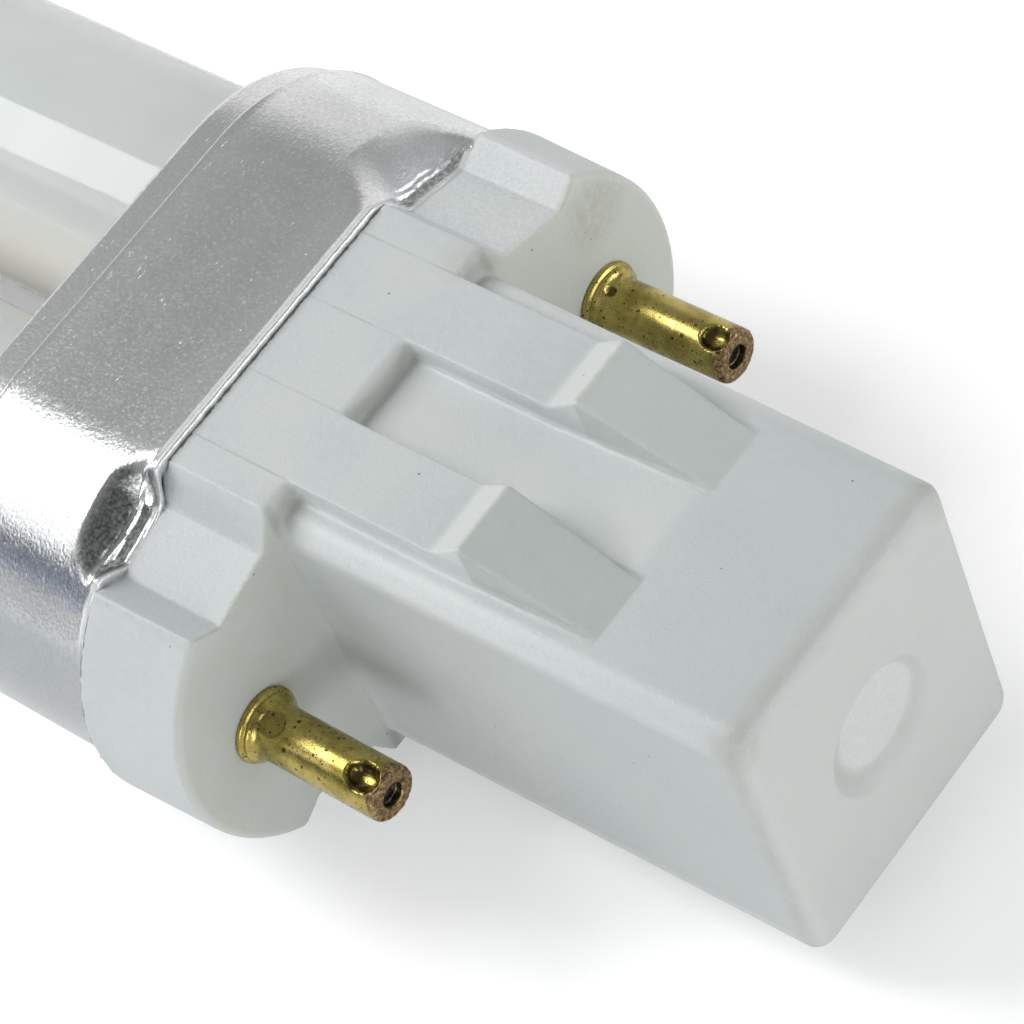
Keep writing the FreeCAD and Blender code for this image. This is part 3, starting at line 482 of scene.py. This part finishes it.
def glass_material():
    """Glossy glass over a white phosphor coat, with painted light and a faint painted glow between the two
    legs.
    """
    material, tree, shader = new_material("phosphor_glass")
    coords = place_mm(tree)
    along, sideways, upwards = put(tree, "ShaderNodeSeparateXYZ", [(0, coords)]).outputs
    cloud = noise_of(tree, coords, 0.12, 3.0)
    base = blend(tree, between(tree, cloud, 0.3, 0.7), (0.57, 0.60, 0.60), (0.61, 0.63, 0.615))
    coat = Coat(tree, base)
    # Painted light on the legs' inner sides, where they shade each other.
    painted_gap_light = between(tree, math_of(tree, "ABSOLUTE", sideways), 3.2, 1.2)
    painted_gap_light = times(tree, painted_gap_light, between(tree, along, -125.0, -110.0))
    coat.lay((0.74, 0.74, 0.70), painted_gap_light)
    coat.lay((0.15, 0.15, 0.14), specks(tree, coords, 0.5, 0.04, 0.12), 0.7)
    tree.links.new(coat.colour, shader.inputs["Base Color"])
    film = noise_of(tree, coords, 0.8, 4.0)
    tree.links.new(between(tree, film, 0.3, 0.75, 0.04, 0.12), shader.inputs["Roughness"])
    shader.inputs["IOR"].default_value = 1.52
    shader.inputs["Specular IOR Level"].default_value = 0.32
    shader.inputs["Subsurface Weight"].default_value = 0.5
    shader.inputs["Subsurface Radius"].default_value = (1.0, 1.0, 1.0)
    shader.inputs["Subsurface Scale"].default_value = 0.004
    # Painted glow: faint emission on the legs' inner undersides stands in for light that comes through the
    # glass.
    material.cycles.emission_sampling = "NONE"
    shader.inputs["Emission Color"].default_value = (1.0, 0.97, 0.89, 1)
    underside = times(tree, painted_gap_light, between(tree, upwards, 5.0, 1.5))
    tree.links.new(times(tree, underside, 0.06), shader.inputs["Emission Strength"])
    return material


def grainy_material(name, low, high, scale, rough, metallic=0.0):
    """A plain rough material of two mingled colours, for the pieces held inside."""
    material, tree, shader = new_material(name)
    coords = place_mm(tree)
    grain = noise_of(tree, coords, scale, 5.0, 0.6)
    tree.links.new(blend(tree, between(tree, grain, 0.3, 0.7), low, high), shader.inputs["Base Color"])
    tree.links.new(between(tree, grain, 0.3, 0.7, rough * 0.85, rough * 1.15), shader.inputs["Roughness"])
    tree.links.new(bump_of(tree, grain, 0.03), shader.inputs["Normal"])
    shader.inputs["Metallic"].default_value = metallic
    return material


# Pieces.


def stadium(half_flat, radius, count=24):
    """Points (y, z) of an obround outline."""
    points = []
    for side in (1, -1):
        for place in range(count + 1):
            angle = math.pi * (place / count - 0.5) + (0 if side > 0 else math.pi)
            points.append((side * half_flat + radius * math.cos(angle), radius * math.sin(angle)))
    return points


def smooth_step(value):
    """0 to 1 with soft ends."""
    value = min(1.0, max(0.0, value))
    return value * value * (3 - 2 * value)


def circle(y, z, radius, count=24):
    """Points (y, z) of a circle."""
    turns = [2 * math.pi * place / count for place in range(count)]
    return [(y + radius * math.cos(turn), z + radius * math.sin(turn)) for turn in turns]


# How the cap's mesh is made: where its filling starts, size of voxel, rounds of smoothing, share of faces
# kept, where the hidden spigot is cut off, and how far rounding moves an edge.
CAP_FILL_X = -9.0
CAP_VOXEL = 0.1
CAP_SMOOTHING = 3
CAP_KEEP = 0.34
CAP_CUT_X = -5.35
CAP_EDGE_REACH = 0.065


def build_cap(material):
    """The moulded cap, softened, with its hidden inside filled and its spigot cut short in the shell."""
    source = bmesh.new()
    source.from_mesh(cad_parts["plastic_cap"].data)
    boss_core = [(-5.6, -6.8), (5.6, -6.8), (5.6, 6.8), (-5.6, 6.8)]
    add_prism(source, boss_core, CAP_FILL_X, 20.4)
    head_core = stadium(SHELL_HALF_FLAT, 6.6)
    add_prism(source, head_core, CAP_FILL_X, -1.6)
    for side in (-1, 1):
        pin_hole = circle(side * PIN_Y, 0, 1.6)
        add_prism(source, pin_hole, CAP_FILL_X, -0.1)
    mesh = bpy.data.meshes.new("cap_source")
    source.to_mesh(mesh)
    source.free()
    mesh = softened(mesh, CAP_VOXEL, CAP_SMOOTHING, CAP_KEEP)
    cut = bmesh.new()
    cut.from_mesh(mesh)
    everything = cut.verts[:] + cut.edges[:] + cut.faces[:]
    spot = (CAP_CUT_X * MM, 0, 0)
    bmesh.ops.bisect_plane(cut, geom=everything, plane_co=spot, plane_no=(-1, 0, 0), clear_outer=True)
    rim = [edge for edge in cut.edges if edge.is_boundary]
    bmesh.ops.edgeloop_fill(cut, edges=rim)
    cut.to_mesh(mesh)
    cut.free()
    note_edges(mesh, "plastic_cap", CAP_EDGE_REACH)
    return finish_mesh("cap", mesh, material, ["plastic_cap"])


# Points (x, radius) of a pin: flange, groove, ring and flare, plain length, worn tip, end and bore.
PIN_PROFILE = (
    (-0.15, 1.3), (-0.02, 1.6), (0.06, 1.65), (0.14, 1.66), (0.22, 1.63), (0.27, 1.55), (0.31, 1.49),
    (0.35, 1.5), (0.4, 1.52), (0.46, 1.5), (0.52, 1.44), (0.58, 1.37), (0.66, 1.3), (0.76, 1.25),
    (0.9, 1.215), (1.1, 1.2), (6.5, 1.2), (6.62, 1.185), (6.71, 1.145), (6.76, 1.09), (6.78, 1.02),
    (6.78, 0.62), (6.76, 0.56), (6.7, 0.54), (6.45, 0.53), (6.42, 0.45), (6.4, 0.02),
)
# Marks pressed or drilled into each pin: place along it, turn from the top, half length, half width, depth.
PIN_MARKS = {
    "right": ((1.15, -0.19, 0.57, 0.55, 0.06), (5.85, -0.26, 0.8, 0.66, 0.6)),
    "left": ((0.8, -0.18, 0.2, 0.2, 0.14), (6.05, -0.14, 0.66, 0.6, 0.5)),
}


def pressed(hand, side, x, turn, radius):
    """How far a pin's marks press its surface in; deep marks are scooped out, shallow ones are flat."""
    total = 0.0
    on_tip, in_bore = x >= 6.7, radius <= 0.9
    if on_tip or in_bore:
        return total
    for along, lean, half_length, half_width, depth in PIN_MARKS[hand]:
        away = (turn - lean) * radius
        off = math.hypot((x - along) / half_length, away / half_width)
        off += 0.04 * noise.noise(Vector((4 * x, 4 * away, side)))
        if off < 1:
            scooped = depth > 0.3
            total += depth * (math.sqrt(1 - off ** 3) if scooped else smooth_step((1 - off) / 0.12))
    return total


def build_pins(material):
    """The hollow brass pins with their crimp marks, cross holes and torn, rough tips."""
    stations = [PIN_PROFILE[0]]
    for start, end in zip(PIN_PROFILE, PIN_PROFILE[1:]):
        count = max(1, round(math.dist(start, end) / PIN_STEP))
        step = np.subtract(end, start) / count
        stations += [tuple(np.add(start, step * place)) for place in range(1, count + 1)]
    for side, hand in ((1, "left"), (-1, "right")):
        rows = []
        for x, radius in stations:
            ring = []
            for turn in np.linspace(0, 2 * math.pi, PIN_RING, endpoint=False):
                across, up = math.sin(turn), math.cos(turn)
                reach = radius - pressed(hand, side, x, math.atan2(across, up), radius)
                rough = noise.noise(Vector((5 * x, 5 * radius * across, 5 * radius * up + 9 * side)))
                torn = smooth_step((x - 6.2) / 0.4) * smooth_step(1.5 * up + 0.2)
                reach += 0.035 * torn * rough
                place = x + 0.03 * rough * smooth_step((x - 6.5) / 0.2)
                ring.append((place, side * PIN_Y + reach * across, reach * up))
            rows.append(ring)
        mesh = grid_mesh("pin", rows)
        finish_mesh(f"pin_{hand}", mesh, material, [f"contact_pin_{hand}"])


# How deep each staked dent presses the rim in, by the distance from the middle plane, in millimetres.
DENTS = {
    -1: ((7.6, 0.0), (7.75, 0.95), (8.1, 1.68), (8.6, 1.88), (9.7, 1.93), (10.6, 1.75), (11.2, 0.94),
         (11.8, 0.2), (12.2, -0.15), (12.8, 0.0)),
    1: ((6.5, 0.0), (6.7, 0.3), (7.3, 0.64), (7.7, 1.26), (8.0, 1.87), (9.1, 1.91), (10.9, 1.68),
        (11.5, 1.44), (12.1, 0.9), (12.5, 0.4), (13.2, 0.0)),
}
# Where each dent starts along the shell, how slowly it starts to fall, and where it is deepest.
DENT_START_X = {-1: -7.0, 1: -8.2}
DENT_EASE = {-1: 1.05, 1: 1.45}
DENT_FOOT_X = -5.4
DENT_MIDDLE_Y = 9.6


def dent_share(x, side):
    """The share of a dent's depth along the shell: a slope down to the rim."""
    start = DENT_START_X[side]
    return min(1.0, max(0.0, (x - start) / (DENT_FOOT_X - start)) ** DENT_EASE[side])


def eased(table, width):
    """A dent's table of depths, evened out over a width."""
    spacing = 0.02
    places = np.arange(4.0, 16.0, spacing)
    depth = np.interp(places, *np.array(table).T, left=0.0, right=0.0)
    weights = np.exp(-0.5 * (np.arange(-75, 76) * spacing / width) ** 2)
    return places, np.convolve(depth, weights / weights.sum(), "same")


RIM_DEPTHS = {side: eased(table, 0.12) for side, table in DENTS.items()}
SLOPE_DEPTHS = {side: eased(table, 0.5) for side, table in DENTS.items()}


def dent_depth(x, y, z):
    """How far a point of the shell is pressed towards the middle plane, with its folds and crumples."""
    side = 1 if y > 0 else -1
    share = dent_share(x, side)
    if share <= 0:
        return 0.0
    place = DENT_MIDDLE_Y + (side * y - DENT_MIDDLE_Y) * (1 + 0.6 * (1 - share) ** 2)
    if not 5.0 < place < 15.0:
        return 0.0
    sharp = smooth_step((share - 0.6) / 0.4)
    press = sharp * np.interp(place, *RIM_DEPTHS[side]) + (1 - sharp) * np.interp(place, *SLOPE_DEPTHS[side])
    wobble = noise.noise(Vector((0.3 * z, 1.1 * y, 3.0)))
    fold = math.sin(26.0 * x + 2.2 * wobble) * max(0.0, 0.6 + noise.noise(Vector((5.0, 0.8 * y, 2.0 * x))))
    crumple = noise.noise(Vector((2.6 * x, 3.2 * y, 2.0 * z)))
    crease = smooth_step(press - 0.4) * smooth_step((x + 6.15) / 0.3) * smooth_step((-5.25 - x) / 0.2)
    return press * share + crease * (0.05 * fold + 0.05 * crumple)


def shell_profile():
    """Points (x, reach) of the sheet: inside of the rim, flared lip, band, step, neck and top edge."""
    lip = [(-5.45, -0.35), (-5.12, -0.33), (-5.1, -0.15), (-5.1, 0.0), (-5.103, 0.08), (-5.115, 0.16)]
    lip += [(-5.14, 0.225), (-5.175, 0.265), (-5.22, 0.28), (-5.265, 0.272), (-5.315, 0.245)]
    lip += [(-5.375, 0.2), (-5.445, 0.145), (-5.52, 0.09), (-5.61, 0.04)]
    band = [(x, 0.0) for x in np.linspace(-5.74, -6.42, 18)] + [(x, 0.0) for x in np.linspace(-6.5, -8.5, 26)]
    band += [(x, 0.0) for x in np.linspace(-8.9, -13.3, 11)]
    step = [(-13.52, 0.012), (-13.6, 0.035), (-13.66, 0.05), (-13.72, 0.045), (-13.77, 0.01), (-13.81, -0.07)]
    step += [(-13.84, -0.17), (-13.87, -0.26), (-13.92, -0.325), (-13.99, -0.345)]
    neck = [(x, -NECK_STEP) for x in np.linspace(-14.1, TOP_X + NECK_RADIUS + 0.05, 6)]
    turn = []
    for angle in np.linspace(0, math.pi / 2, 9):
        drop = NECK_RADIUS * (1 - math.cos(angle))
        turn.append((TOP_X + NECK_RADIUS * (1 - math.sin(angle)), -NECK_STEP - drop))
    return lip + band + step + neck + turn


def shell_outline():
    """Points (y, z) spread evenly round the shell, each with the way out from there."""
    straight = 2 * SHELL_HALF_FLAT
    half_way = straight + math.pi * SHELL_RADIUS
    count = SHELL_RING // 2
    half = []
    for run in np.arange(count) / count * half_way:
        if run < straight:
            half.append((SHELL_HALF_FLAT - run, SHELL_RADIUS, 0.0, 1.0))
            continue
        turn = (run - straight) / SHELL_RADIUS
        away = (-math.sin(turn), math.cos(turn))
        half.append((SHELL_RADIUS * away[0] - SHELL_HALF_FLAT, SHELL_RADIUS * away[1], *away))
    return np.vstack([half, np.negative(half)])


def build_shell(material):
    """The drawn sheet shell with its rolled rim, stepped neck and four staked, crumpled dents."""
    outline = shell_outline()
    rows = []
    for x, reach in shell_profile():
        row = np.column_stack([np.full(len(outline), x), outline[:, :2] + reach * outline[:, 2:]])
        for point in row:
            point[2] -= math.copysign(dent_depth(x, point[1], point[2]), point[2])
            ragged = noise.noise(Vector((point[1] * 1.7, point[2] * 1.7, 8.0)))
            point[0] += 0.03 * ragged * smooth_step((x + 5.9) / 0.5)
        rows.append(row)
    mesh = grid_mesh("shell", rows)
    close_top(mesh)
    return finish_mesh("shell", mesh, material, ["aluminium_shell"])


def close_top(mesh):
    """Fills the shell's top between its last ring and the two tube holes."""
    work = bmesh.new()
    work.from_mesh(mesh)
    last = min(vert.co.x for vert in work.verts)
    edges = [edge for edge in work.edges if edge.is_boundary and edge.verts[0].co.x < last + 1e-5]
    for side in (-1, 1):
        hole = circle(side * TUBE_HALF_PITCH, 0, TUBE_RADIUS + 0.03, TUBE_RING)
        loop = [work.verts.new((TOP_X * MM, y * MM, z * MM)) for y, z in hole]
        edges += [work.edges.new((first, second)) for first, second in zip(loop, loop[1:] + loop[:1])]
    bmesh.ops.triangle_fill(work, use_beauty=True, use_dissolve=False, edges=edges)
    bmesh.ops.recalc_face_normals(work, faces=work.faces[:])
    work.to_mesh(mesh)
    work.free()


def build_tube(material):
    """The bent glass tube, one smooth sweep."""
    line = [(x, TUBE_HALF_PITCH, 0.0) for x in np.linspace(TUBE_START_X, BEND_X, 120)]
    for angle in np.linspace(0, math.pi, 49)[1:-1]:
        line.append((BEND_X - TUBE_HALF_PITCH * math.sin(angle), TUBE_HALF_PITCH * math.cos(angle), angle))
    line += [(x, -TUBE_HALF_PITCH, math.pi) for x in np.linspace(BEND_X, TUBE_START_X, 120)]
    rows = []
    for x, y, angle in line:
        ring = []
        for turn in np.linspace(0, 2 * math.pi, TUBE_RING, endpoint=False):
            out = TUBE_RADIUS * math.cos(turn)
            ring.append((x - out * math.sin(angle), y + out * math.cos(angle), TUBE_RADIUS * math.sin(turn)))
        rows.append(ring)
    mesh = grid_mesh("tube", rows)
    return finish_mesh("tube", mesh, material, ["glass_tube"])


def dress_inside():
    """Finishes of the pieces held inside, which keep their solids' shapes."""
    cement = grainy_material("cement", (0.52, 0.49, 0.42), (0.66, 0.63, 0.56), 3.0, 0.9)
    starter = grainy_material("starter_glass", (0.62, 0.66, 0.68), (0.72, 0.75, 0.76), 1.0, 0.15)
    resin = grainy_material("capacitor_resin", (0.42, 0.19, 0.06), (0.52, 0.26, 0.09), 2.0, 0.35)
    wire = grainy_material("lead_wire", (0.50, 0.48, 0.45), (0.66, 0.64, 0.60), 8.0, 0.35, 1.0)
    for node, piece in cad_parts.items():
        finish = {"basing_cement": cement, "glow_starter": starter, "capacitor": resin}.get(node)
        if finish is None and "_lead_" in node:
            finish = wire
        if finish is not None:
            piece.data.materials.clear()
            piece.data.materials.append(finish)


# Stage, light and camera.


def build_floor(level):
    """A pale floor under the lamp, white to the camera except where the tube covers it."""
    material, tree, shader = new_material("floor_paper")
    coords = place_mm(tree)
    grain = noise_of(tree, coords, 0.05, 0.0)
    tree.links.new(blend(tree, grain, (0.91, 0.91, 0.91), (0.93, 0.93, 0.93)), shader.inputs["Base Color"])
    shader.inputs["Roughness"].default_value = 0.9
    shader.inputs["Specular IOR Level"].default_value = 0.1
    shader.inputs["Emission Color"].default_value = (1, 1, 1, 1)
    rays = put(tree, "ShaderNodeLightPath").outputs
    mirrored = math_of(tree, "ADD", rays["Is Glossy Ray"], rays["Is Transmission Ray"], True)
    along, sideways, _ = put(tree, "ShaderNodeSeparateXYZ", [(0, coords)]).outputs
    behind = between(tree, sideways, 0.0, 250.0, 0.03, 0.4)
    covered = between(tree, math_of(tree, "ABSOLUTE", sideways), 12.0, 6.0)
    covered = times(tree, covered, between(tree, along, -8.0, -16.0), between(tree, along, -145.0, -125.0))
    lit = between(tree, covered, 0.0, 1.0, 0.32, 0.1)
    seen = math_of(tree, "ADD", times(tree, rays["Is Camera Ray"], lit), times(tree, mirrored, behind))
    tree.links.new(seen, shader.inputs["Emission Strength"])
    mesh = bpy.data.meshes.new("floor")
    half = 3.0
    corners = [(-half, -half, level), (half, -half, level), (half, half, level), (-half, half, level)]
    mesh.from_pydata(corners, [], [(0, 1, 2, 3)])
    floor = bpy.data.objects.new("floor", mesh)
    mesh.materials.append(material)
    scene.collection.objects.link(floor)


def build_world():
    """A studio room: grey overhead, darker towards the horizon, with a pale, a banded and a dark wall."""
    world = bpy.data.worlds.new("studio")
    scene.world = world
    world.use_nodes = True
    tree = world.node_tree
    direction = put(tree, "ShaderNodeTexCoord").outputs["Generated"]
    level = put(tree, "ShaderNodeSeparateXYZ", [(0, direction)]).outputs["Z"]
    overhead = between(tree, level, 0.2, 0.75)
    colour = blend(tree, overhead, (0.16, 0.175, 0.20), (0.36, 0.365, 0.36))
    near_wall = blend(tree, between(tree, level, 0.16, 0.26), (0.60, 0.595, 0.60), (0.26, 0.31, 0.44))
    near_wall = blend(tree, between(tree, level, 0.28, 0.36), near_wall, (0.03, 0.035, 0.06))
    near_wall = blend(tree, between(tree, level, 0.465, 0.50), near_wall, (1.7, 1.7, 1.7))
    # Where each wall lies, how it fades in, its colour, and where it fades out upwards.
    walls = (
        ((-0.6, 0.8, 0.0), 0.56, 0.8, (0.86, 0.85, 0.84), (0.65, 0.35)),
        ((-0.53, -0.85, 0.0), 0.68, 0.82, near_wall, (0.72, 0.66)),
        ((0.93, -0.2, 0.3), 0.7, 0.93, (0.04, 0.04, 0.04), (0.65, 0.35)),
    )
    for aim, low, high, tint, top in walls:
        facing = put(tree, "ShaderNodeVectorMath", [(0, direction), (1, aim)], operation="DOT_PRODUCT")
        share = between(tree, facing.outputs["Value"], low, high)
        colour = blend(tree, times(tree, share, between(tree, level, *top)), colour, tint)
    tree.links.new(colour, tree.nodes["Background"].inputs["Color"])
    tree.nodes["Background"].inputs["Strength"].default_value = 1.0


# Soft lights: name, place and size in metres, power in watts.
SOFTBOXES = (
    ("key", (-0.192, -0.063, 0.219), (0.132, 0.2175), 0.62),
    ("fill", (0.64, 0.45, 0.17), (0.55, 0.28), 1.9),
    ("front", (0.85, -0.03, 0.12), (0.5, 0.2), 1.05),
    ("side", (0.47, -0.70, 0.19), (0.5, 0.3), 2.1),
)


def add_softbox(name, place, size, power):
    """A rectangular soft light that faces the lamp's cap."""
    light = bpy.data.lights.new(name, "AREA")
    light.shape = "RECTANGLE"
    light.size, light.size_y = size
    light.energy = power
    lamp = bpy.data.objects.new(name, light)
    lamp.location = place
    lamp.rotation_euler = (-Vector(place)).to_track_quat("-Z", "Y").to_euler()
    scene.collection.objects.link(lamp)


def build_camera():
    """The photograph's view: place, axes and focal length."""
    right = Vector((0.7627815859, 0.5893532907, -0.2661333331))
    up = Vector((-0.3764234671, 0.7393130074, 0.5583203834))
    back = right.cross(up)
    camera = bpy.data.objects.new("camera", bpy.data.cameras.new("camera"))
    place = Matrix.Translation((0.0887955956, -0.0520274300, 0.1283331634))
    camera.matrix_world = place @ Matrix((right, up, back)).transposed().to_4x4()
    camera.data.sensor_width = 36.0
    camera.data.lens = 144.668
    camera.data.clip_start = 0.001
    scene.collection.objects.link(camera)
    scene.camera = camera


build_cap(plastic_material())
build_pins(brass_material())
build_shell(aluminium_material())
build_tube(glass_material())
dress_inside()
build_floor(CAD_BOX[0][2])
build_world()
for softbox in SOFTBOXES:
    add_softbox(*softbox)
build_camera()
